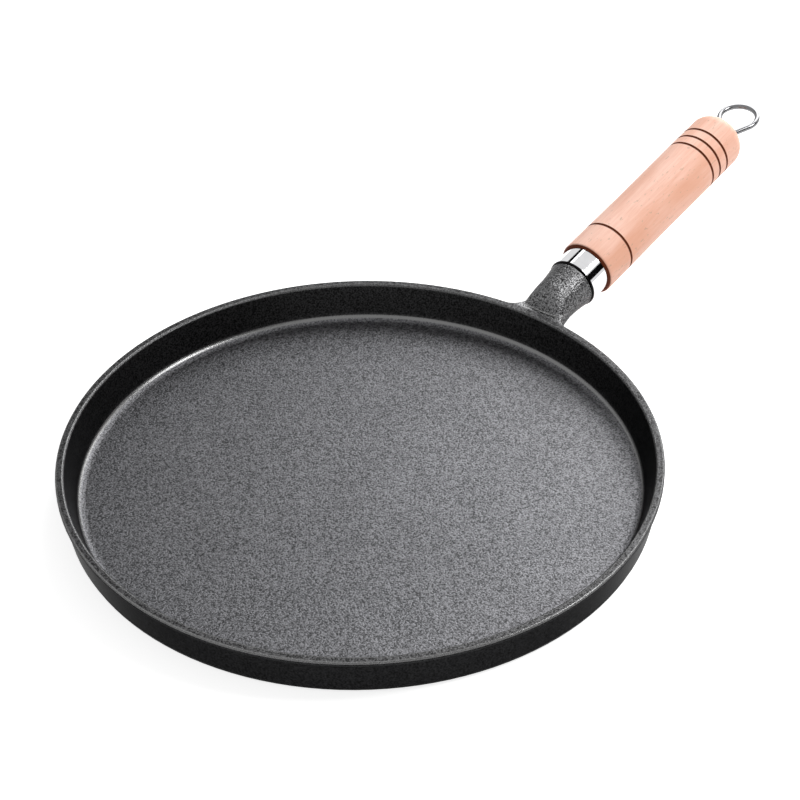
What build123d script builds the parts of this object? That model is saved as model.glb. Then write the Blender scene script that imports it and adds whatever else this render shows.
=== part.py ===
# Cast iron crepe pan with a turned beech handle. Millimetres, +Z up.
# The origin is the centre of the flat base. The handle points along +X.
from build123d import *
import os
from math import asin, atan2, cos, degrees, hypot, radians, sin, sqrt

os.makedirs("parts", exist_ok=True)

overrun = 1.0                      # how far a cut runs past the face it leaves
round_flat_count = 3               # an outline's round is drawn as this many flats on its arc

# Pan bowl
rim_radius = 140.0
pan_height = 21.2
rim_width = 3.8
rim_inner_chamfer = 0.6
bead_height = 2.8                  # the slight bead along the rim's outer edge
bead_stand = 0.83                  # how far it stands out of the wall at its foot
bead_chamfer = 0.7
base_inset = 3.9                   # from the rim to where the wall's outside meets the base
base_round = 4.0
floor_thickness = 3.6
floor_inset = 9.1                  # from the rim to where the wall's inside meets the floor
floor_round = 4.0

# Handle axis: it crosses the rim radius at axis_height and rises outwards
handle_tilt = 9.0
axis_height = 18.2

# Neck, cast on the bowl. Runs are measured along the handle axis from the rim radius
neck_length = 29.9
neck_end_radius = 13.0
neck_waist_radius = 11.4
neck_end_chamfer = 0.6
root_half_width = 21.0
root_half_height = 7.5
root_drop = 6.2                    # how far the root's centre lies under the handle axis
root_lean = 12.5                   # degrees that the root leans outwards, with the wall
web_half_width = 11.3              # where the bead spreads onto the neck
web_reach = 9.5
web_round = 10.0
web_root_reach = 3.5               # under the web the casting is solid down into the neck
web_root_depth = 6.0

# One row per section, from the root in the wall to the waist: how far along the neck it
# stands, then how much of the root's width, height, drop and lean it keeps
root_section_shares = [
    (-0.154, 1.00, 1.00, 1.00, 1.00),
    (0.000, 0.40, 1.05, 0.98, 0.63),
    (0.134, 0.12, 0.43, 0.47, 0.39),
    (0.300, 0.03, 0.10, 0.16, 0.15),
    (0.468, 0.00, 0.00, 0.00, 0.00),
]

# Tie rod and its tapped hole
rod_radius = 3.0
rod_tip_chamfer = 0.6
thread_engagement = 12.0
thread_clearance = 0.05
thread_tail = 4.0                  # depth of the hole past the rod's tip
mouth_chamfer = 0.8
rod_clearance = 0.4                # round the rod in the wood, the cup and the washer
head_radius = 5.5
head_thickness = 4.0
head_chamfer = 0.5

# Ferrule, a drawn cup
ferrule_radius = 13.5
ferrule_length = 12.9
ferrule_wall = 0.8
ferrule_front_round = 0.9

# Wooden grip. Radii of the turned outline, then places along it from the shoulder
tenon_clearance = 0.05
tenon_end_gap = 0.3
shoulder_radius = 13.95
shoulder_chamfer = 1.2
grip_collar_radius = 15.15
grip_waist_radius = 15.0
grip_swell_radius = 15.3
grip_length = 129.3
near_groove_run = 19.5
waist_run = 47.0
swell_run = 90.0
far_groove_run = 96.7
far_groove_pitch = 6.9
far_groove_count = 3
groove_depth = 0.45
dome_round = 8.0
counterbore_radius = 6.5
counterbore_depth = 6.0
counterbore_edge_chamfer = 0.4

# Washer under the rod's head
washer_thickness = 1.0
washer_clearance = 0.3

# Hanging loop of round wire
wire_radius = 1.5
wire_flat_count = 10               # the round wire is drawn with this many flats
loop_leg_offset = 3.4              # from the handle axis to each leg's centre at the head
loop_leg_run = 1.7                 # straight start of each leg
loop_leg_bend = 4.0
loop_bow_radius = 10.2             # wire centre line
loop_bow_reach = 17.9              # from the head's face to the bow's centre

# The handle's own frame: X along its axis, Y upwards in the pan's plane of symmetry
tilt = radians(handle_tilt)
axis_direction = Vector(cos(tilt), 0, sin(tilt))
up_direction = Vector(-sin(tilt), 0, cos(tilt))
pivot = Vector(rim_radius, 0, axis_height)
handle_axis = Axis(pivot, axis_direction)
profile_plane = Plane(origin=pivot, x_dir=axis_direction, z_dir=(0, -1, 0))
loop_plane = Plane(origin=pivot, x_dir=axis_direction, z_dir=up_direction)


def cross_plane(run, drop=0.0, lean=0.0):
    """Plane across the neck at a run along the axis, dropped below it and leaning back."""
    pitch = radians(handle_tilt - lean)
    centre = pivot + axis_direction * run - up_direction * drop
    return Plane(origin=centre, x_dir=(0, 1, 0), z_dir=(cos(pitch), 0, sin(pitch)))


def round_points(before, corner, after, radius):
    """Points on the round at a corner of an outline, from the side of before to that of after."""
    bend = FilletPolyline(before, corner, after, radius=radius, mode=Mode.PRIVATE)
    arc = bend.edges().filter_by(GeomType.CIRCLE)[0]
    points = [arc @ (step / round_flat_count) for step in range(round_flat_count + 1)]
    return [(point.X, point.Y) for point in points]


# Places along the handle axis
ferrule_start = neck_length
shoulder_start = ferrule_start + ferrule_length
grip_end = shoulder_start + grip_length
counterbore_floor = grip_end - counterbore_depth
head_start = counterbore_floor + washer_thickness
head_end = head_start + head_thickness
rod_tip = neck_length - thread_engagement
hole_bottom = rod_tip - thread_tail

# Pan: bowl and neck in one casting
base_corner_radius = rim_radius - base_inset
floor_corner_radius = rim_radius - floor_inset
bead_bottom = pan_height - bead_height
bead_foot_radius = rim_radius - bead_stand
wall_slope = (bead_foot_radius - base_corner_radius) / bead_bottom
wall_top_radius = base_corner_radius + wall_slope * pan_height
rim_inner_radius = rim_radius - rim_width

with BuildPart() as pan:
    # Bead round the rim, spread in plan onto the neck
    with BuildSketch(Plane.XY.offset(bead_bottom)) as bead_plan:
        Circle(rim_radius)
        with Locations((rim_radius, 0)):
            Rectangle(2 * web_reach, 2 * web_half_width)
        for side in (-web_half_width, web_half_width):
            web_corner = bead_plan.vertices().sort_by_distance((rim_radius, side))[0]
            fillet(web_corner, web_round)
        Circle(rim_radius - rim_width / 2, mode=Mode.SUBTRACT)
    extrude(amount=bead_height)
    bead_faces = pan.faces().filter_by(Plane.XY)
    chamfer([edge for face in bead_faces for edge in face.outer_wire().edges()], bead_chamfer)

    with BuildSketch(Plane.XY.offset(pan_height - web_root_depth)):
        with Locations((rim_radius, 0)):
            Rectangle(2 * web_root_reach, 2 * web_half_width)
    extrude(amount=web_root_depth - bead_height)

    base_middle = (0, 0)
    base_corner = (base_corner_radius, 0)
    wall_top = (wall_top_radius, pan_height)
    rim_inner_corner = (rim_inner_radius, pan_height)
    floor_corner = (floor_corner_radius, floor_thickness)
    floor_middle = (0, floor_thickness)
    with BuildSketch(Plane.XZ) as bowl_profile:
        with BuildLine():
            Polyline(
                base_middle,
                *round_points(base_middle, base_corner, wall_top, base_round),
                wall_top,
                rim_inner_corner,
                *round_points(rim_inner_corner, floor_corner, floor_middle, floor_round),
                floor_middle,
                close=True,
            )
        make_face()
        rim_edge = bowl_profile.vertices().sort_by_distance(rim_inner_corner)[0]
        chamfer(rim_edge, rim_inner_chamfer)
    revolve(axis=Axis.Z)

    # The neck grows out of the wall as a flattened oval and turns round at its waist
    width_gain = root_half_width - neck_waist_radius
    height_gain = root_half_height - neck_waist_radius
    full_lean = handle_tilt + root_lean
    for run_share, width_share, height_share, drop_share, lean_share in root_section_shares:
        with BuildSketch(
            cross_plane(run_share * neck_length, drop_share * root_drop, lean_share * full_lean)
        ):
            Ellipse(
                neck_waist_radius + width_share * width_gain,
                neck_waist_radius + height_share * height_gain,
            )
    loft()

    # Then it flares to the ferrule
    waist_run_start = root_section_shares[-1][0] * neck_length
    with BuildSketch(profile_plane):
        with BuildLine():
            Line((neck_length, neck_end_radius), (neck_length, 0))
            Line((neck_length, 0), (waist_run_start, 0))
            Line((waist_run_start, 0), (waist_run_start, neck_waist_radius))
            TangentArc(
                (waist_run_start, neck_waist_radius), (neck_length, neck_end_radius), tangent=(1, 0)
            )
        make_face()
    revolve(axis=handle_axis)

    end_edge = pan.edges().sort_by(handle_axis)[-1]
    chamfer(end_edge, neck_end_chamfer)

    # Blind tapped hole, modelled at the rod's size, with a chamfered mouth
    hole_radius = rod_radius + thread_clearance
    with BuildSketch(profile_plane):
        with BuildLine():
            Polyline(
                (hole_bottom, 0),
                (hole_bottom, hole_radius),
                (neck_length - mouth_chamfer, hole_radius),
                (neck_length, hole_radius + mouth_chamfer),
                (neck_length + overrun, hole_radius + mouth_chamfer),
                (neck_length + overrun, 0),
                close=True,
            )
        make_face()
    revolve(axis=handle_axis, mode=Mode.SUBTRACT)
pan.part.label = "pan"

# Ferrule: polished steel cup, its front turned in round the rod
cup_hole_radius = rod_radius + rod_clearance
cup_inner_radius = ferrule_radius - ferrule_wall

cup_front = (ferrule_start, cup_hole_radius)
cup_corner = (ferrule_start, ferrule_radius)
cup_mouth = (shoulder_start, ferrule_radius)

with BuildPart() as ferrule:
    with BuildSketch(profile_plane):
        with BuildLine():
            Polyline(
                cup_front,
                *round_points(cup_front, cup_corner, cup_mouth, ferrule_front_round),
                cup_mouth,
                (shoulder_start, cup_inner_radius),
                (ferrule_start + ferrule_wall, cup_inner_radius),
                (ferrule_start + ferrule_wall, cup_hole_radius),
                close=True,
            )
        make_face()
    revolve(axis=handle_axis)
ferrule.part.label = "ferrule"

# Wooden grip: tenon in the cup, burnt shoulder, turned outline, domed end
tenon_start = ferrule_start + ferrule_wall + tenon_end_gap
tenon_radius = cup_inner_radius - tenon_clearance
tenon_chamfer = ferrule_front_round - ferrule_wall + tenon_end_gap
near_groove = (shoulder_start + near_groove_run, grip_collar_radius)
swell = (shoulder_start + swell_run, grip_swell_radius)
dome_corner = (grip_end, grip_swell_radius)
end_middle = (grip_end, 0)

with BuildPart() as wood_grip:
    with BuildSketch(profile_plane) as grip_profile:
        with BuildLine():
            Polyline(
                swell,
                *round_points(swell, dome_corner, end_middle, dome_round),
                end_middle,
                (tenon_start, 0),
                (tenon_start, tenon_radius - tenon_chamfer),
                (tenon_start + tenon_chamfer, tenon_radius),
                (shoulder_start, tenon_radius),
                (shoulder_start, shoulder_radius),
                (shoulder_start + shoulder_chamfer, grip_collar_radius),
                near_groove,
            )
            ThreePointArc(near_groove, (shoulder_start + waist_run, grip_waist_radius), swell)
        make_face()
        # Turned grooves: one near the ferrule, the others near the end
        with Locations(near_groove):
            RegularPolygon(groove_depth, 4, mode=Mode.SUBTRACT)
        for groove in range(far_groove_count):
            groove_run = shoulder_start + far_groove_run + groove * far_groove_pitch
            with Locations((groove_run, grip_swell_radius)):
                RegularPolygon(groove_depth, 4, mode=Mode.SUBTRACT)
    revolve(axis=handle_axis)

    # Bore for the rod and counterbore for its head
    with BuildSketch(cross_plane(tenon_start - overrun)):
        Circle(rod_radius + rod_clearance)
    extrude(amount=grip_end - tenon_start + 2 * overrun, mode=Mode.SUBTRACT)
    with BuildSketch(cross_plane(counterbore_floor)):
        Circle(counterbore_radius)
    extrude(amount=counterbore_depth + overrun, mode=Mode.SUBTRACT)
    mouth_edges = wood_grip.edges().filter_by(GeomType.CIRCLE).filter_by(
        lambda edge: abs(edge.radius - counterbore_radius) < counterbore_edge_chamfer
    )
    chamfer(mouth_edges.sort_by(handle_axis)[-1], counterbore_edge_chamfer)
wood_grip.part.label = "wood_grip"

# Tie rod with its round head
with BuildPart() as tie_rod:
    with BuildSketch(cross_plane(rod_tip)):
        Circle(rod_radius)
    extrude(amount=head_start - rod_tip)
    chamfer(tie_rod.edges().sort_by(handle_axis)[0], rod_tip_chamfer)
    with BuildSketch(cross_plane(head_start)):
        Circle(head_radius)
    extrude(amount=head_thickness)
    head_edges = tie_rod.edges().filter_by(GeomType.CIRCLE).filter_by(
        lambda edge: abs(edge.radius - head_radius) < head_chamfer
    )
    chamfer(head_edges, head_chamfer)
tie_rod.part.label = "tie_rod"

# Flat washer between the head and the wood
with BuildPart() as end_washer:
    with BuildSketch(cross_plane(counterbore_floor)):
        Circle(counterbore_radius - washer_clearance)
        Circle(rod_radius + rod_clearance, mode=Mode.SUBTRACT)
    extrude(amount=washer_thickness)
end_washer.part.label = "end_washer"

# Hanging loop: a pear-shaped bow of wire, both ends on the head's face
corner_run = head_end + loop_leg_run
bow_run = head_end + loop_bow_reach
bow_distance = hypot(bow_run - corner_run, loop_leg_offset)
leg_length = sqrt(bow_distance**2 - loop_bow_radius**2)
leg_angle = asin(loop_bow_radius / bow_distance) - atan2(loop_leg_offset, bow_run - corner_run)
bow_start = (
    corner_run + leg_length * cos(leg_angle),
    loop_leg_offset + leg_length * sin(leg_angle),
)

with BuildPart() as hanging_loop:
    with BuildLine(loop_plane) as loop_path:
        near_leg = FilletPolyline(
            (head_end, loop_leg_offset),
            (corner_run, loop_leg_offset),
            bow_start,
            radius=loop_leg_bend,
        )
        bow = CenterArc(
            (bow_run, 0),
            loop_bow_radius,
            90 + degrees(leg_angle),
            -2 * (90 + degrees(leg_angle)),
        )
        far_leg = mirror(near_leg, about=Plane.XZ)
    with BuildSketch(cross_plane(head_end)):
        with Locations((loop_leg_offset, 0)):
            RegularPolygon(wire_radius, wire_flat_count)
    sweep()
hanging_loop.part.label = "hanging_loop"

for piece in (pan, ferrule, wood_grip, tie_rod, end_washer, hanging_loop):
    export_step(piece.part, f"parts/{piece.part.label}.step")
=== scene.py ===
import math

import bmesh
import bpy
from mathutils import Matrix, Vector


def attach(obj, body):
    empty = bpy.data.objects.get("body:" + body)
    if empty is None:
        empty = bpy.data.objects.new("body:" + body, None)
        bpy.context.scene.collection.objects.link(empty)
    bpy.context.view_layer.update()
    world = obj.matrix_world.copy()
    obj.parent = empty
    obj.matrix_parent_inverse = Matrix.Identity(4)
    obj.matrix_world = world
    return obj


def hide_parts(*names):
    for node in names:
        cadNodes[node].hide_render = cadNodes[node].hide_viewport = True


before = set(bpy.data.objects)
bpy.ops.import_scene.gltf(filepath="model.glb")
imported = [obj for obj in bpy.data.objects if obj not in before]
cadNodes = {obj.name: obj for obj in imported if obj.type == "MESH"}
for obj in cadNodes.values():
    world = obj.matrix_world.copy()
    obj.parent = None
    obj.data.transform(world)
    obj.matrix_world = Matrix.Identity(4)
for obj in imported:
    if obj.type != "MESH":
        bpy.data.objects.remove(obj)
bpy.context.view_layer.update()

print("frame loaded:", ", ".join(sorted(cadNodes)))

# Camera at the photograph's angle, for a square picture
cameraValues = {
    "place": (-0.60601, -0.51408, 0.65345),
    "turnDegrees": (52.790, 0.605, -51.499),
    "lensMm": 99.0,
    "sensorMm": 36.0,
}


def addCamera(values):
    lens = bpy.data.cameras.new("photoCamera")
    lens.lens = values["lensMm"]
    lens.sensor_width = values["sensorMm"]
    lens.clip_start = 0.01
    lens.clip_end = 50
    camera = bpy.data.objects.new("photoCamera", lens)
    camera.location = values["place"]
    camera.rotation_euler = [math.radians(turn) for turn in values["turnDegrees"]]
    bpy.context.scene.collection.objects.link(camera)
    bpy.context.scene.camera = camera


addCamera(cameraValues)
bpy.context.scene.view_settings.view_transform = "Standard"
print("camera placed")

# The handle's own axis: it crosses the rim at this point and rises outwards
handleValues = {
    "start": (0.140, 0, 0.0182),
    "tiltDegrees": 9.0,
}
handleStart = Vector(handleValues["start"])
handleTurn = Matrix.Rotation(-math.radians(handleValues["tiltDegrees"]), 3, "Y")
handleAlong = handleTurn @ Vector((1, 0, 0))
handleUp = handleTurn @ Vector((0, 0, 1))
handleSide = Vector((0, 1, 0))


def onHandle(run, side=0.0, up=0.0):
    # a point by its millimetres along the handle's axis, to its side and above it
    return handleStart + (handleAlong * run + handleSide * side + handleUp * up) / 1000


# Small helpers for shader nodes
def startMaterial(name):
    material = bpy.data.materials.new(name)
    material.use_nodes = True
    tree = material.node_tree
    tree.nodes.clear()
    output = tree.nodes.new("ShaderNodeOutputMaterial")
    shader = tree.nodes.new("ShaderNodeBsdfPrincipled")
    tree.links.new(shader.outputs["BSDF"], output.inputs["Surface"])
    return material, tree, shader


def objectPlace(tree):
    return tree.nodes.new("ShaderNodeTexCoord").outputs["Object"]


def handlePlace(tree):
    # object place measured from the handle's start, with X along its axis
    mapping = tree.nodes.new("ShaderNodeMapping")
    mapping.vector_type = "TEXTURE"
    mapping.inputs["Location"].default_value = handleValues["start"]
    mapping.inputs["Rotation"].default_value = (0, -math.radians(handleValues["tiltDegrees"]), 0)
    tree.links.new(objectPlace(tree), mapping.inputs["Vector"])
    return mapping.outputs["Vector"]


def stretched(tree, place, scale):
    mapping = tree.nodes.new("ShaderNodeMapping")
    mapping.inputs["Scale"].default_value = scale
    tree.links.new(place, mapping.inputs["Vector"])
    return mapping.outputs["Vector"]


def noise(tree, place, size, detail=2.0, roughness=0.5):
    # size is that of one blotch, in metres
    node = tree.nodes.new("ShaderNodeTexNoise")
    node.inputs["Scale"].default_value = 1 / size
    node.inputs["Detail"].default_value = detail
    node.inputs["Roughness"].default_value = roughness
    tree.links.new(place, node.inputs["Vector"])
    return node.outputs["Fac"]


def axesOf(tree, place):
    node = tree.nodes.new("ShaderNodeSeparateXYZ")
    tree.links.new(place, node.inputs[0])
    return node.outputs["X"], node.outputs["Y"], node.outputs["Z"]


def calc(tree, operation, first, second=None, third=None, clamp=False):
    node = tree.nodes.new("ShaderNodeMath")
    node.operation = operation
    node.use_clamp = clamp
    for socket, value in zip(node.inputs, (first, second, third)):
        if value is None:
            continue
        if isinstance(value, (int, float)):
            socket.default_value = value
        else:
            tree.links.new(value, socket)
    return node.outputs[0]


def times(tree, first, second):
    return calc(tree, "MULTIPLY", first, second)


def without(tree, share):
    return calc(tree, "SUBTRACT", 1, share)


def fromAxis(tree, first, second):
    # distance from an axis, by the two coordinates across it
    return calc(tree, "SQRT", calc(tree, "MULTIPLY_ADD", first, first, times(tree, second, second)))


def vary(tree, share, middle, spread):
    # half the spread below middle where share is 0, half above it where share is 1
    return calc(tree, "MULTIPLY_ADD", share, spread, middle - spread / 2)


def rise(tree, value, low, high):
    # 0 below low, 1 above high and smooth between; the other way round where low is above high
    node = tree.nodes.new("ShaderNodeMapRange")
    node.interpolation_type = "SMOOTHSTEP"
    node.inputs["From Min"].default_value = min(low, high)
    node.inputs["From Max"].default_value = max(low, high)
    node.inputs["To Min"].default_value = 0 if low < high else 1
    node.inputs["To Max"].default_value = 1 if low < high else 0
    tree.links.new(value, node.inputs["Value"])
    return node.outputs["Result"]


def ramp(tree, value, places, colours):
    # from the first colour to the second as value goes from the first place to the second
    node = tree.nodes.new("ShaderNodeValToRGB")
    for element, place, colour in zip(node.color_ramp.elements, places, colours):
        element.position = place
        element.color = (*colour, 1)
    tree.links.new(value, node.inputs["Fac"])
    return node.outputs["Color"]


def mixColour(tree, share, first, second, blend="MIX"):
    node = tree.nodes.new("ShaderNodeMix")
    node.data_type = "RGBA"
    node.blend_type = blend
    sockets = (node.inputs[0], node.inputs[6], node.inputs[7])
    for socket, value in zip(sockets, (share, first, second)):
        if isinstance(value, (int, float)):
            socket.default_value = value
        elif isinstance(value, tuple):
            socket.default_value = (*value, 1)
        else:
            tree.links.new(value, socket)
    return node.outputs[2]


def bump(tree, height, strength, distance, normal=None):
    node = tree.nodes.new("ShaderNodeBump")
    node.inputs["Strength"].default_value = strength
    node.inputs["Distance"].default_value = distance
    tree.links.new(height, node.inputs["Height"])
    if normal is not None:
        tree.links.new(normal, node.inputs["Normal"])
    return node.outputs["Normal"]


# Cast iron under a baked-on coat: speckled inside, smoother on the walls, ground on the rim's top,
# coarse on the neck. Painted shade darkens the walls; painted light brightens the neck's top face,
# the rim's edges and the wall's foot
ironValues = {
    # the dark and the light of each speckle
    "floorColours": ((0.046, 0.046, 0.048), (0.172, 0.172, 0.181)),
    # the walls are painted darker than the floor, as painted shade
    "innerWallShadedColours": ((0.008, 0.008, 0.008), (0.042, 0.042, 0.043)),
    "outerWallShadedColours": ((0.006, 0.006, 0.006), (0.022, 0.022, 0.023)),
    "rimColours": ((0.018, 0.018, 0.018), (0.098, 0.098, 0.100)),
    "neckColours": ((0.025, 0.025, 0.025), (0.208, 0.208, 0.212)),
    # painted light: the neck's top face by the rim is lighter than the rest of the neck
    "webLitColours": ((0.036, 0.036, 0.036), (0.270, 0.270, 0.275)),
    # painted highlight on the rim's sharp edges
    "rimHighlightColour": (0.30, 0.30, 0.30),
    # painted highlight: the lighter band along the wall's foot
    "footHighlightColour": (0.16, 0.16, 0.16),
    "patchTones": ((0.93, 0.93, 0.93), (1, 1, 1)),
    "grazingTint": (0.50, 0.50, 0.50),
    "grainSize": 0.00080,
    "neckGrainSize": 0.00075,
    "poreSize": 0.0022,
    "poreShare": 0.14,
    "patchSize": 0.030,
    "speckleRange": (0.36, 0.64),
    "patchRange": (0.35, 0.65),
    "grainDepth": 0.00032,
    "grainStrength": 0.6,
    "poreDepth": 0.4,
    "wallDepth": 0.35,
    "neckDepth": 1.6,
    "roughness": 0.42,
    "roughnessSpread": 0.16,
    "wallRoughness": 0.36,
    "neckRoughness": 0.30,
    "footRoughness": 0.22,
    "rimEdgeRoughness": 0.24,
    "rimHighlightShare": 0.6,
    "rimHighlightSharpness": (0.995, 0.94),
    "edgeSoftness": 0.0010,
    "footSoftness": 0.0023,
    # the middle of the wall's metal: its radius at the base, and how much it leans out
    "wallRadius": 0.1338,
    "wallLean": 0.22,
    # where each place begins and where it is whole, in metres up or out from the pan's middle
    "wallMiddle": (-0.0003, 0.0003),
    "floor": (0.0047, 0.0041),
    "footHighlight": (0.0062, 0.0054),
    "softFoot": (0.014, 0.010),
    "wallFoot": (0.0038, 0.0044),
    "wallTop": (0.0207, 0.0204),
    "rimHighlightBand": (0.0186, 0.0206),
    "rim": (0.0206, 0.0209),
    "neck": (0.1390, 0.1414),
    "neckSide": (0.120, 0.124),
    "webTop": (0.0217, 0.0213),
    "webEnd": (0.1510, 0.1470),
}


def makeIron(values):
    material, tree, shader = startMaterial("castIron")
    place = objectPlace(tree)
    x, y, z = axesOf(tree, place)
    fine = noise(tree, place, values["grainSize"], 1)
    coarse = noise(tree, place, values["neckGrainSize"], 1)
    pores = noise(tree, place, values["poreSize"])
    patches = noise(tree, place, values["patchSize"])

    # Where the floor, the inner and outer wall, the rim and the neck are
    radius = fromAxis(tree, x, y)
    wall = calc(tree, "MULTIPLY_ADD", z, values["wallLean"], values["wallRadius"])
    outside = rise(tree, calc(tree, "SUBTRACT", radius, wall), *values["wallMiddle"])
    inside = without(tree, outside)
    onFloor = times(tree, rise(tree, z, *values["floor"]), inside)
    onRim = rise(tree, z, *values["rim"])
    onNeck = times(tree, rise(tree, radius, *values["neck"]), rise(tree, x, *values["neckSide"]))
    onWeb = times(tree, rise(tree, z, *values["webTop"]), onRim)
    onWeb = times(tree, onWeb, rise(tree, radius, *values["webEnd"]))
    onWall = times(tree, rise(tree, z, *values["wallFoot"]), rise(tree, z, *values["wallTop"]))
    onWall = times(tree, onWall, without(tree, onNeck))
    # Painted highlight: the wall's foot is painted lighter in a band all the way round, and made
    # smoother
    footHighlight = times(tree, rise(tree, z, *values["footHighlight"]), inside)
    footHighlight = times(tree, footHighlight, without(tree, onFloor))

    grain = calc(tree, "ADD", times(tree, onNeck, coarse), times(tree, without(tree, onNeck), fine))
    poreShare = values["poreShare"]
    mottle = calc(tree, "MULTIPLY_ADD", grain, 1 - poreShare, times(tree, pores, poreShare))

    def speckle(colours):
        return ramp(tree, mottle, values["speckleRange"], colours)

    # the inner and outer walls take darker colours than the floor, as painted shade
    inner = mixColour(tree, footHighlight, speckle(values["innerWallShadedColours"]), values["footHighlightColour"])
    colour = mixColour(tree, outside, inner, speckle(values["outerWallShadedColours"]))
    colour = mixColour(tree, onFloor, colour, speckle(values["floorColours"]))
    colour = mixColour(tree, onRim, colour, speckle(values["rimColours"]))
    # the neck's top face by the rim takes a lighter copy of its speckle, as painted light
    neck, litWeb = speckle(values["neckColours"]), speckle(values["webLitColours"])
    colour = mixColour(tree, onNeck, colour, mixColour(tree, onWeb, neck, litWeb))
    shade = ramp(tree, patches, values["patchRange"], values["patchTones"])
    colour = mixColour(tree, 1.0, colour, shade, "MULTIPLY")

    # Edges are softened; along the rim they are smoother and painted brighter, a painted highlight
    soft = tree.nodes.new("ShaderNodeBevel")
    soft.samples = 6
    wider = values["footSoftness"] - values["edgeSoftness"]
    wider = times(tree, rise(tree, z, *values["softFoot"]), wider)
    tree.links.new(calc(tree, "ADD", wider, values["edgeSoftness"]), soft.inputs["Radius"])
    geometry = tree.nodes.new("ShaderNodeNewGeometry")
    sharpness = tree.nodes.new("ShaderNodeVectorMath")
    sharpness.operation = "DOT_PRODUCT"
    tree.links.new(soft.outputs["Normal"], sharpness.inputs[0])
    tree.links.new(geometry.outputs["True Normal"], sharpness.inputs[1])
    # the rim's sharp edges get a painted highlight and less roughness
    wearAndHighlight = rise(tree, sharpness.outputs["Value"], *values["rimHighlightSharpness"])
    wearAndHighlight = times(tree, wearAndHighlight, rise(tree, z, *values["rimHighlightBand"]))
    colour = mixColour(tree, times(tree, wearAndHighlight, values["rimHighlightShare"]), colour, values["rimHighlightColour"])
    tree.links.new(colour, shader.inputs["Base Color"])
    shader.inputs["Metallic"].default_value = 1
    shader.inputs["Specular Tint"].default_value = (*values["grazingTint"], 1)

    plain = values["roughness"]
    rough = vary(tree, grain, plain, values["roughnessSpread"])
    for share, change in (
        (onWall, values["wallRoughness"] - plain),
        (onNeck, values["neckRoughness"] - plain),
        (footHighlight, values["footRoughness"] - values["wallRoughness"]),
        (wearAndHighlight, values["rimEdgeRoughness"] - plain),
    ):
        rough = calc(tree, "MULTIPLY_ADD", share, change, rough)
    tree.links.new(rough, shader.inputs["Roughness"])

    # The walls are cast smoother than the floor, and the neck rougher
    height = calc(tree, "MULTIPLY_ADD", pores, values["poreDepth"], grain)
    for share, depth in ((onWall, values["wallDepth"]), (onNeck, values["neckDepth"])):
        height = times(tree, height, calc(tree, "MULTIPLY_ADD", share, depth - 1, 1))
    strength, depth = values["grainStrength"], values["grainDepth"]
    normal = bump(tree, height, strength, depth, soft.outputs["Normal"])
    tree.links.new(normal, shader.inputs["Normal"])
    return material


# Turned beech with burnt lines. Runs are in metres along the handle
beechValues = {
    "paleColour": (0.93, 0.60, 0.485),
    "deepColour": (0.84, 0.47, 0.355),
    "warmColour": (0.77, 0.38, 0.25),
    "fleckColour": (0.50, 0.33, 0.24),
    "burntColour": (0.120, 0.022, 0.004),
    # each figure by its width across the grain, and its width over its length
    "streaks": {"size": 0.0022, "slimness": 0.07, "detail": 3, "roughness": 0.6},
    "fibres": {"size": 0.0005, "slimness": 0.05, "detail": 2, "roughness": 0.5},
    "patches": {"size": 0.016, "slimness": 0.35, "detail": 2, "roughness": 0.5},
    "flecks": {"size": 0.0011, "slimness": 0.30, "detail": 1, "roughness": 0.5},
    "streakShare": 0.6,
    "figureRange": (0.34, 0.60),
    "patchRange": (0.45, 0.70),
    # painted shade on the handle's side away from the light
    "shadeSide": (-0.002, -0.013),
    "shadeSideShare": 0.75,
    "warmShare": 0.45,
    "fleckRange": (0.66, 0.74),
    "fleckShare": 0.55,
    # the shoulder at the cup's mouth, coloured as dark as the burnt lines
    "darkShoulder": (0.0438, 0.0435),
    "burntLines": (0.0623, 0.1395, 0.1464, 0.1533),
    "burntLineEdge": (0.00092, 0.00072),
    "roughness": 0.46,
    "roughnessSpread": 0.14,
    "burntRoughness": 0.2,
    "gloss": 0.2,
    "grainDepth": 0.00012,
    "grainStrength": 0.25,
    "fibreDepth": 0.6,
}


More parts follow.
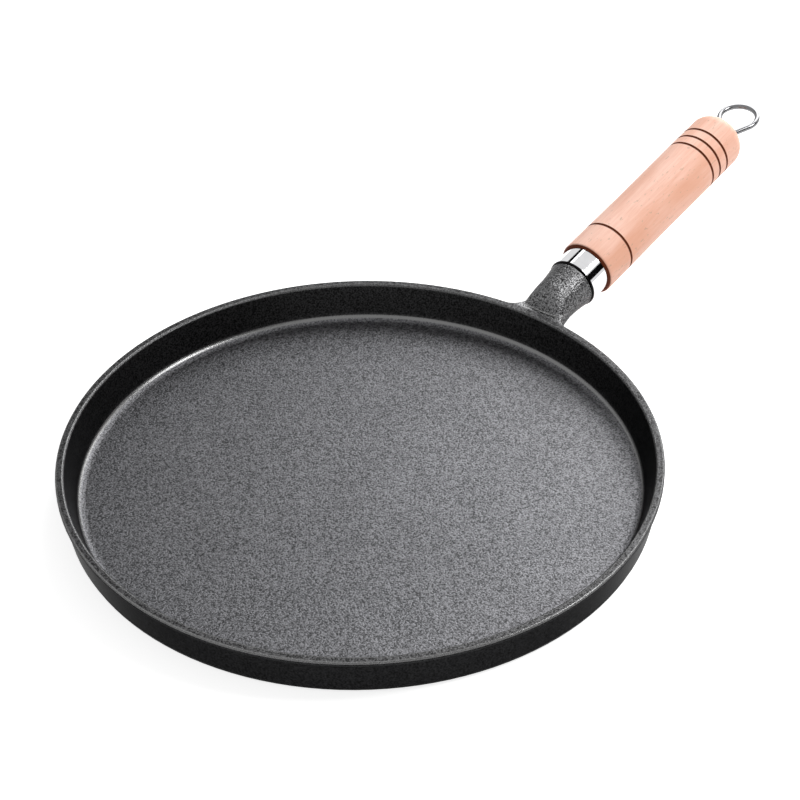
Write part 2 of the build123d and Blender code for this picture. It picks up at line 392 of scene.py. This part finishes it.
def makeBeech(values):
    material, tree, shader = startMaterial("beech")
    place = handlePlace(tree)
    run, side = axesOf(tree, place)[:2]

    def figure(kind):
        drawnOut = stretched(tree, place, (kind["slimness"], 1, 1))
        return noise(tree, drawnOut, kind["size"], kind["detail"], kind["roughness"])

    streaks = figure(values["streaks"])
    fibres = figure(values["fibres"])
    patches = figure(values["patches"])
    flecks = figure(values["flecks"])
    share = values["streakShare"]
    grainMix = calc(tree, "MULTIPLY_ADD", streaks, share, times(tree, fibres, 1 - share))
    tones = (values["deepColour"], values["paleColour"])
    colour = ramp(tree, grainMix, values["figureRange"], tones)
    # painted shade: the side away from the light is painted a deeper red
    shadeSideMask = rise(tree, side, *values["shadeSide"])
    warm = rise(tree, patches, *values["patchRange"])
    warm = calc(tree, "MULTIPLY_ADD", shadeSideMask, values["shadeSideShare"], warm)
    warm = times(tree, warm, values["warmShare"])
    colour = mixColour(tree, warm, colour, values["warmColour"])
    specks = times(tree, rise(tree, flecks, *values["fleckRange"]), values["fleckShare"])
    colour = mixColour(tree, specks, colour, values["fleckColour"])
    # the shoulder at the cup's mouth takes the burnt lines' dark colour
    burnt = rise(tree, run, *values["darkShoulder"])
    for line in values["burntLines"]:
        distance = calc(tree, "ABSOLUTE", calc(tree, "SUBTRACT", run, line))
        burnt = calc(tree, "MAXIMUM", burnt, rise(tree, distance, *values["burntLineEdge"]))
    colour = mixColour(tree, burnt, colour, values["burntColour"])
    tree.links.new(colour, shader.inputs["Base Color"])
    rough = vary(tree, fibres, values["roughness"], values["roughnessSpread"])
    rough = calc(tree, "MULTIPLY_ADD", burnt, values["burntRoughness"], rough)
    tree.links.new(rough, shader.inputs["Roughness"])
    shader.inputs["Specular IOR Level"].default_value = values["gloss"]
    height = calc(tree, "MULTIPLY_ADD", fibres, values["fibreDepth"], streaks)
    height = calc(tree, "SUBTRACT", height, specks)
    normal = bump(tree, height, values["grainStrength"], values["grainDepth"])
    tree.links.new(normal, shader.inputs["Normal"])
    return material


# Steel: mirror polished on the cup, duller on the wire, plain on the rod and its washer. The wire
# is painted far darker than the cup, as painted shade, and the cup's front edge takes a painted
# shadow
steelValues = {
    "wearSize": 0.004,
    "wearRange": (0.3, 0.7),
    "wornTone": 0.93,
    "roughnessSpread": 0.6,
    "scratchSize": 0.0002,
    "scratchSlimness": 0.05,
    "scratchStrength": 0.4,
}
cupSteelValues = {
    **steelValues,
    "colour": (0.74, 0.74, 0.75),
    "roughness": 0.06,
    "scratchDepth": 0.000003,
    # painted shadow: the gap where the cup meets the neck is painted as a dark line,
    # in metres along the handle and from its axis
    "gapShadowColour": (0.01, 0.01, 0.01),
    "gapShadowEnd": (0.0309, 0.0307),
    "gapShadowInside": (0.0112, 0.0118),
}
wireSteelValues = {
    **steelValues,
    # painted shade: the wire's steel is painted darker than the cup's
    "colour": (0.19, 0.19, 0.195),
    "roughness": 0.12,
    "scratchDepth": 0.000005,
}
plainSteelValues = {
    **steelValues,
    "colour": (0.62, 0.62, 0.63),
    "roughness": 0.27,
    "scratchDepth": 0.00001,
}


def makeSteel(name, values):
    material, tree, shader = startMaterial(name)
    place = handlePlace(tree)
    wear = noise(tree, place, values["wearSize"], 3)
    slimness = values["scratchSlimness"]
    around = stretched(tree, place, (1, slimness, slimness))
    scratches = noise(tree, around, values["scratchSize"])
    wearAndHighlight = tuple(part * values["wornTone"] for part in values["colour"])
    tone = ramp(tree, wear, values["wearRange"], (wearAndHighlight, values["colour"]))
    # painted shadow: the cup's front edge, at the gap by the neck, is painted nearly black
    if "gapShadowEnd" in values:
        run, side, up = axesOf(tree, place)
        black = rise(tree, run, *values["gapShadowEnd"])
        outer = rise(tree, fromAxis(tree, side, up), *values["gapShadowInside"])
        tone = mixColour(tree, times(tree, black, outer), tone, values["gapShadowColour"])
    tree.links.new(tone, shader.inputs["Base Color"])
    plain = values["roughness"]
    rough = vary(tree, wear, plain, plain * values["roughnessSpread"])
    tree.links.new(rough, shader.inputs["Roughness"])
    shader.inputs["Metallic"].default_value = 1
    normal = bump(tree, scratches, values["scratchStrength"], values["scratchDepth"])
    tree.links.new(normal, shader.inputs["Normal"])
    return material


iron = makeIron(ironValues)
beech = makeBeech(beechValues)
cupSteel = makeSteel("cupSteel", cupSteelValues)
wireSteel = makeSteel("wireSteel", wireSteelValues)
plainSteel = makeSteel("plainSteel", plainSteelValues)
for nodeName, finish in {
    "pan": iron,
    "wood_grip": beech,
    "ferrule": cupSteel,
    "hanging_loop": wireSteel,
    "tie_rod": plainSteel,
    "end_washer": plainSteel,
}.items():
    cadMesh = cadNodes[nodeName].data
    cadMesh.materials.clear()
    cadMesh.materials.append(finish)
print("finishes made")


# Helpers for pieces turned on the handle's axis
mergeDistance = 0.000002  # metres
ringTolerance = 0.02  # millimetres


def turn(shape, outline, steps, closed=True):
    # the outline is in millimetres, as (run, radius). An open one ends on the axis
    points = [shape.verts.new(onHandle(run, 0, radius)) for run, radius in outline]
    following = points[1:] + points[:1] if closed else points[1:]
    edges = [shape.edges.new(pair) for pair in zip(points, following)]
    bmesh.ops.spin(
        shape,
        geom=points + edges,
        cent=handleStart,
        axis=handleAlong,
        dvec=(0, 0, 0),
        angle=math.tau,
        steps=steps,
        use_merge=True,
        use_duplicate=False,
    )


def ringEdges(shape, run, radius):
    # the edges of the ring at this place on a turned piece
    def onRing(vert):
        end = vert.co - handleStart
        along = end.dot(handleAlong)
        out = (end - handleAlong * along).length
        return max(abs(along * 1000 - run), abs(out * 1000 - radius)) < ringTolerance

    return [edge for edge in shape.edges if all(onRing(vert) for vert in edge.verts)]


def roundRing(shape, run, radius, size, segments):
    bmesh.ops.bevel(
        shape,
        geom=ringEdges(shape, run, radius),
        offset=size / 1000,
        offset_type="OFFSET",
        affect="EDGES",
        segments=segments,
        profile=0.5,
        material=-1,
    )


def vertsOf(parts):
    return [part for part in parts if isinstance(part, bmesh.types.BMVert)]


def facesOf(parts):
    return [part for part in parts if isinstance(part, bmesh.types.BMFace)]


def finishPiece(name, shape, finish, body, replaced, sharpDegrees=35):
    bmesh.ops.remove_doubles(shape, verts=shape.verts, dist=mergeDistance)
    bmesh.ops.recalc_face_normals(shape, faces=shape.faces)
    mesh = bpy.data.meshes.new(name)
    shape.to_mesh(mesh)
    shape.free()
    mesh.shade_smooth()
    mesh.set_sharp_from_angle(angle=math.radians(sharpDegrees))
    mesh.materials.append(finish)
    piece = bpy.data.objects.new(name, mesh)
    bpy.context.scene.collection.objects.link(piece)
    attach(piece, body)
    if replaced:
        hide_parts(replaced)
    return piece


# The turned grip, with its bore, burnt lines and domed end. Millimetres along the handle
gripValues = {
    "steps": 128,
    "tenonStart": 31.0,
    "tenonRadius": 12.65,
    "tenonChamfer": 0.4,
    "shoulderStart": 42.8,
    "shoulderRadius": 13.95,
    "collarStart": 44.0,
    "collarRadius": 15.15,
    "collarFlat": 0.7,
    "collarRound": 0.25,
    "bodyOutline": ((76.0, 15.04), (89.8, 15.0), (104.0, 15.05), (118.0, 15.17), (132.8, 15.3)),
    "bodyRadius": 15.3,
    "nearGroove": 62.3,
    "farGrooves": (139.5, 146.4, 153.3),
    "grooveDepth": 0.42,
    "grooveHalfWidth": 0.45,
    "end": 172.1,
    "domeRound": 8.0,
    "domeLead": 0.8,
    "counterboreRadius": 6.5,
    "counterboreRound": 0.5,
    "counterboreFloor": 166.1,
    "boreRadius": 3.4,
}


def buildGrip(values):
    def groove(run, radius):
        half = values["grooveHalfWidth"]
        return ((run - half, radius), (run, radius - values["grooveDepth"]), (run + half, radius))

    tenonEdge = values["tenonRadius"] - values["tenonChamfer"]
    outline = [
        (values["tenonStart"], values["boreRadius"]),
        (values["tenonStart"], tenonEdge),
        (values["tenonStart"] + values["tenonChamfer"], values["tenonRadius"]),
        (values["shoulderStart"], values["tenonRadius"]),
        (values["shoulderStart"], values["shoulderRadius"]),
        (values["collarStart"], values["collarRadius"]),
        (values["collarStart"] + values["collarFlat"], values["collarRadius"]),
        *groove(values["nearGroove"], values["collarRadius"]),
        *values["bodyOutline"],
    ]
    for run in values["farGrooves"]:
        outline += groove(run, values["bodyRadius"])
    outline += [
        (values["end"] - values["domeRound"] - values["domeLead"], values["bodyRadius"]),
        (values["end"], values["bodyRadius"]),
        (values["end"], values["counterboreRadius"]),
        (values["counterboreFloor"], values["counterboreRadius"]),
        (values["counterboreFloor"], values["boreRadius"]),
    ]
    shape = bmesh.new()
    turn(shape, outline, values["steps"])
    end = values["end"]
    roundRing(shape, end, values["bodyRadius"], values["domeRound"], 10)
    roundRing(shape, end, values["counterboreRadius"], values["counterboreRound"], 3)
    roundRing(shape, values["collarStart"], values["collarRadius"], values["collarRound"], 2)
    return finishPiece("turnedGrip", shape, beech, "grip", "wood_grip", sharpDegrees=28)


buildGrip(gripValues)
print("grip turned")

# The drawn steel cup between neck and grip
cupValues = {
    "steps": 128,
    "front": 29.9,
    "mouth": 42.8,
    "radius": 13.5,
    "wall": 0.8,
    "holeRadius": 3.4,
    "frontRound": 0.9,
    "frontRing": 1.2,
    "mouthRound": 0.2,
    "mouthRing": 0.5,
}


def buildCup(values):
    inside = values["radius"] - values["wall"]
    floor = values["front"] + values["wall"]
    outline = [
        (values["front"], values["holeRadius"]),
        (values["front"], values["radius"]),
        (values["front"] + values["frontRing"], values["radius"]),
        (values["mouth"] - values["mouthRing"], values["radius"]),
        (values["mouth"], values["radius"]),
        (values["mouth"], inside),
        (floor, inside),
        (floor, values["holeRadius"]),
    ]
    shape = bmesh.new()
    turn(shape, outline, values["steps"])
    roundRing(shape, values["front"], values["radius"], values["frontRound"], 5)
    roundRing(shape, values["mouth"], values["radius"], values["mouthRound"], 2)
    return finishPiece("steelCup", shape, cupSteel, "grip", "ferrule")


buildCup(cupValues)
print("cup drawn")

# The tie rod: its thread, plain shank and round head
rodValues = {
    "steps": 48,
    "tip": 17.9,
    "threadEnd": 34.0,
    "threadPitch": 1.0,
    "threadStepsPerTurn": 28,
    "threadFade": 0.5,
    "threadSink": 0.05,
    "radius": 3.0,
    "coreRadius": 2.5,
    "tipChamfer": 0.6,
    "headStart": 167.1,
    "headEnd": 171.1,
    "headRadius": 5.5,
    "headRound": 0.5,
}


def buildRod(values):
    shape = bmesh.new()
    # Core, shank and head in one outline, closed on the axis
    outline = [
        (values["tip"], 0),
        (values["tip"], values["coreRadius"] - values["tipChamfer"]),
        (values["tip"] + values["tipChamfer"], values["coreRadius"]),
        (values["threadEnd"], values["coreRadius"]),
        (values["threadEnd"] + values["threadFade"], values["radius"]),
        (values["headStart"], values["radius"]),
        (values["headStart"], values["headRadius"]),
        (values["headEnd"], values["headRadius"]),
        (values["headEnd"], 0),
    ]
    turn(shape, outline, values["steps"], closed=False)
    bmesh.ops.remove_doubles(shape, verts=shape.verts, dist=mergeDistance)
    roundRing(shape, values["headEnd"], values["headRadius"], values["headRound"], 3)
    roundRing(shape, values["headStart"], values["headRadius"], values["headRound"], 3)
    # One ridge of the thread, wound along the core
    pitch = values["threadPitch"]
    start = values["tip"] + values["tipChamfer"]
    base = values["coreRadius"] - values["threadSink"]
    section = [(start, base), (start + pitch / 2, values["radius"]), (start + pitch, base)]
    corners = [shape.verts.new(onHandle(run, 0, radius)) for run, radius in section]
    turns = int((values["threadEnd"] - start) / pitch)
    bmesh.ops.spin(
        shape,
        geom=[shape.faces.new(corners)],
        cent=handleStart,
        axis=handleAlong,
        dvec=handleAlong * pitch / 1000 / values["threadStepsPerTurn"],
        angle=math.tau * turns,
        steps=turns * values["threadStepsPerTurn"],
        use_merge=False,
        use_duplicate=False,
    )
    return finishPiece("threadedRod", shape, plainSteel, "tie_rod", "tie_rod")


buildRod(rodValues)
print("rod threaded")

# The hanging loop: one wire, bent out from the rod's head, round the bow and back
loopValues = {
    "wireRadius": 1.5,
    "sides": 24,
    "legOffset": 3.4,
    "start": 171.1,
    "firstStraight": 0.77,
    "bendRadius": 4.0,
    "bendDegrees": 26.19,
    "bendSteps": 8,
    "legLength": 12.107,
    "bowRadius": 10.2,
    "bowSteps": 64,
}


def buildLoop(values):
    shape = bmesh.new()
    facing = handleAlong.to_track_quat("Z", "Y").to_matrix().to_4x4()
    facing.translation = onHandle(values["start"], values["legOffset"])
    bmesh.ops.create_circle(
        shape,
        cap_ends=True,
        segments=values["sides"],
        radius=values["wireRadius"] / 1000,
        matrix=facing,
    )
    # the wire's open end as it grows
    wire = {
        "end": list(shape.faces),
        "heading": handleAlong.copy(),
        "place": facing.translation.copy(),
    }

    def straight(length):
        grown = bmesh.ops.extrude_face_region(shape, geom=wire["end"])["geom"]
        step = wire["heading"] * length / 1000
        bmesh.ops.translate(shape, vec=step, verts=vertsOf(grown))
        wire["end"] = facesOf(grown)
        wire["place"] += step

    def bend(radius, degrees, steps):
        # a positive angle turns the wire towards the handle's side axis
        sign = 1 if degrees > 0 else -1
        outward = handleUp.cross(wire["heading"]) * sign
        centre = wire["place"] + outward * radius / 1000
        spun = bmesh.ops.spin(
            shape,
            geom=wire["end"],
            cent=centre,
            axis=handleUp * sign,
            dvec=(0, 0, 0),
            angle=math.radians(abs(degrees)),
            steps=steps,
            use_merge=False,
            use_duplicate=False,
        )
        wire["end"] = facesOf(spun["geom_last"])
        turned = Matrix.Rotation(math.radians(degrees), 3, handleUp)
        wire["place"] = centre + turned @ (wire["place"] - centre)
        wire["heading"] = turned @ wire["heading"]

    straight(values["firstStraight"])
    bend(values["bendRadius"], values["bendDegrees"], values["bendSteps"])
    straight(values["legLength"])
    bend(values["bowRadius"], -(180 + 2 * values["bendDegrees"]), values["bowSteps"])
    straight(values["legLength"])
    bend(values["bendRadius"], values["bendDegrees"], values["bendSteps"])
    straight(values["firstStraight"])
    return finishPiece(
        "wireLoop", shape, wireSteel, "tie_rod", "hanging_loop", sharpDegrees=60
    )


buildLoop(loopValues)
print("loop bent")

# The casting's fillets under the rim, one each side of the neck. Millimetres in the pan's own place
filletValues = {
    "arcCentre": (147.9, 21.9),
    "arcStart": (137.26, 20.32),
    "arcDegrees": 63.2,
    "arcSteps": 14,
    "insideCorners": ((143.0, 10.8), (137.0, 10.8), (135.6, 20.6)),
    "bottom": 13.6,
    "top": 18.6,
    "wallSlope": 0.167,
    "slopeMiddle": 16.5,
}


def buildFillets(values):
    shape = bmesh.new()
    foot = values["bottom"]

    def place(point, side, height):
        # a corner moves out as it rises, as the pan's wall does
        out = (height - values["slopeMiddle"]) * values["wallSlope"]
        return Vector((point[0] + out, point[1] * side, height)) / 1000

    for side in (-1, 1):
        first = shape.verts.new(place(values["arcStart"], side, foot))
        bmesh.ops.spin(
            shape,
            geom=[first],
            cent=place(values["arcCentre"], side, foot),
            axis=(0, 0, side),
            dvec=(0, 0, 0),
            angle=math.radians(values["arcDegrees"]),
            steps=values["arcSteps"],
            use_merge=False,
            use_duplicate=False,
        )
        loose = [vert for vert in shape.verts if not vert.link_faces]
        ends = [vert for vert in loose if len(vert.link_edges) == 1]
        last = next(vert for vert in ends if vert is not first)
        inner = [shape.verts.new(place(point, side, foot)) for point in values["insideCorners"]]
        corners = [last, *inner, first]
        for pair in zip(corners, corners[1:]):
            shape.edges.new(pair)
        edges = [edge for edge in shape.edges if not edge.link_faces]
        base = bmesh.ops.contextual_create(shape, geom=edges)["faces"]
        grown = bmesh.ops.extrude_face_region(shape, geom=base)["geom"]
        lift = place((0, 0), side, values["top"]) - place((0, 0), side, foot)
        bmesh.ops.translate(shape, vec=lift, verts=vertsOf(grown))
    return finishPiece("neckFillets", shape, iron, "pan", None)


buildFillets(filletValues)
print("fillets added")

# Pale floor that keeps the shadow, white surroundings and soft lamps
studioValues = {
    "floorSize": 3.0,
    "floorColour": (0.8, 0.8, 0.8),
    "floorGlow": 0.78,
    "surroundLight": 0.34,
    # each lamp by its direction from the pan, in degrees, and its distance
    "lamps": {
        "backSoftbox": {
            "azimuth": 12, "elevation": 31, "away": 1.6, "size": (1.2, 1.1), "watts": 18.6,
        },
        "rightSoftbox": {
            "azimuth": -50, "elevation": 45, "away": 1.3, "size": (0.45, 0.45), "watts": 8.0,
        },
    },
    # each card lies along the handle, by its turn about it from straight up, and its distance
    "cards": {
        "leftCard": {"turn": 45, "away": 2.5, "from": 0.8, "to": 2.25, "width": 0.70},
        "rightCard": {"turn": -71, "away": 2.5, "from": -0.5, "to": 3.0, "width": 1.20},
    },
    "cardColour": (0.01, 0.01, 0.01),
}


def seenDirectly(tree):
    # 1 for what the camera, a mirror or a glass shows
    path = tree.nodes.new("ShaderNodeLightPath")
    seen = calc(tree, "ADD", path.outputs["Is Camera Ray"], path.outputs["Is Glossy Ray"])
    return calc(tree, "ADD", seen, path.outputs["Is Transmission Ray"], clamp=True)


def facingPan(values):
    # where a lamp or card stands, with its face to the pan
    flat = math.radians(values["azimuth"])
    high = math.radians(values["elevation"])
    level = Vector((math.cos(flat), math.sin(flat), 0))
    place = level * math.cos(high) + Vector((0, 0, math.sin(high)))
    facing = (-place).to_track_quat("-Z", "Y").to_matrix().to_4x4()
    facing.translation = place * values["away"]
    return facing


def addPanel(name, width, length):
    shape = bmesh.new()
    bmesh.ops.create_grid(shape, x_segments=1, y_segments=1, size=0.5)
    bmesh.ops.scale(shape, vec=(width, length, 1), verts=shape.verts)
    mesh = bpy.data.meshes.new(name)
    shape.to_mesh(mesh)
    shape.free()
    panel = bpy.data.objects.new(name, mesh)
    bpy.context.scene.collection.objects.link(panel)
    material = bpy.data.materials.new(name)
    material.use_nodes = True
    material.node_tree.nodes.clear()
    mesh.materials.append(material)
    output = material.node_tree.nodes.new("ShaderNodeOutputMaterial")
    return panel, material.node_tree, output


def addStudio(values):
    floor, tree, output = addPanel("studioFloor", values["floorSize"], values["floorSize"])
    paint = tree.nodes.new("ShaderNodeBsdfDiffuse")
    paint.inputs["Color"].default_value = (*values["floorColour"], 1)
    glow = tree.nodes.new("ShaderNodeEmission")
    strength = times(tree, seenDirectly(tree), values["floorGlow"])
    tree.links.new(strength, glow.inputs["Strength"])
    both = tree.nodes.new("ShaderNodeAddShader")
    tree.links.new(paint.outputs[0], both.inputs[0])
    tree.links.new(glow.outputs[0], both.inputs[1])
    tree.links.new(both.outputs[0], output.inputs["Surface"])

    world = bpy.data.worlds.new("studioWorld")
    bpy.context.scene.world = world
    world.use_nodes = True
    tree = world.node_tree
    background = next(node for node in tree.nodes if node.type == "BACKGROUND")
    background.inputs["Color"].default_value = (1, 1, 1, 1)
    extra = times(tree, seenDirectly(tree), 1 - values["surroundLight"])
    tree.links.new(calc(tree, "ADD", extra, values["surroundLight"]), background.inputs["Strength"])

    for name, lamp in values["lamps"].items():
        light = bpy.data.lights.new(name, "AREA")
        light.shape = "RECTANGLE"
        light.size, light.size_y = lamp["size"]
        light.energy = lamp["watts"]
        holder = bpy.data.objects.new(name, light)
        holder.matrix_world = facingPan(lamp)
        bpy.context.scene.collection.objects.link(holder)

    # Black cards that only the polished steel and the iron's gloss show
    for name, card in values["cards"].items():
        panel, tree, output = addPanel(name, card["width"], card["to"] - card["from"])
        paint = tree.nodes.new("ShaderNodeBsdfDiffuse")
        paint.inputs["Color"].default_value = (*values["cardColour"], 1)
        tree.links.new(paint.outputs[0], output.inputs["Surface"])
        turned = math.radians(card["turn"])
        towards = handleUp * math.cos(turned) + handleSide * math.sin(turned)
        across = handleAlong.cross(towards)
        sides = Matrix((across, handleAlong, towards)).transposed().to_4x4()
        middle = (card["from"] + card["to"]) / 2
        sides.translation = towards * card["away"] + handleAlong * middle
        panel.matrix_world = sides
        for ray in ("camera", "diffuse", "shadow", "transmission", "volume_scatter"):
            setattr(panel, "visible_" + ray, False)


addStudio(studioValues)
print("studio set")
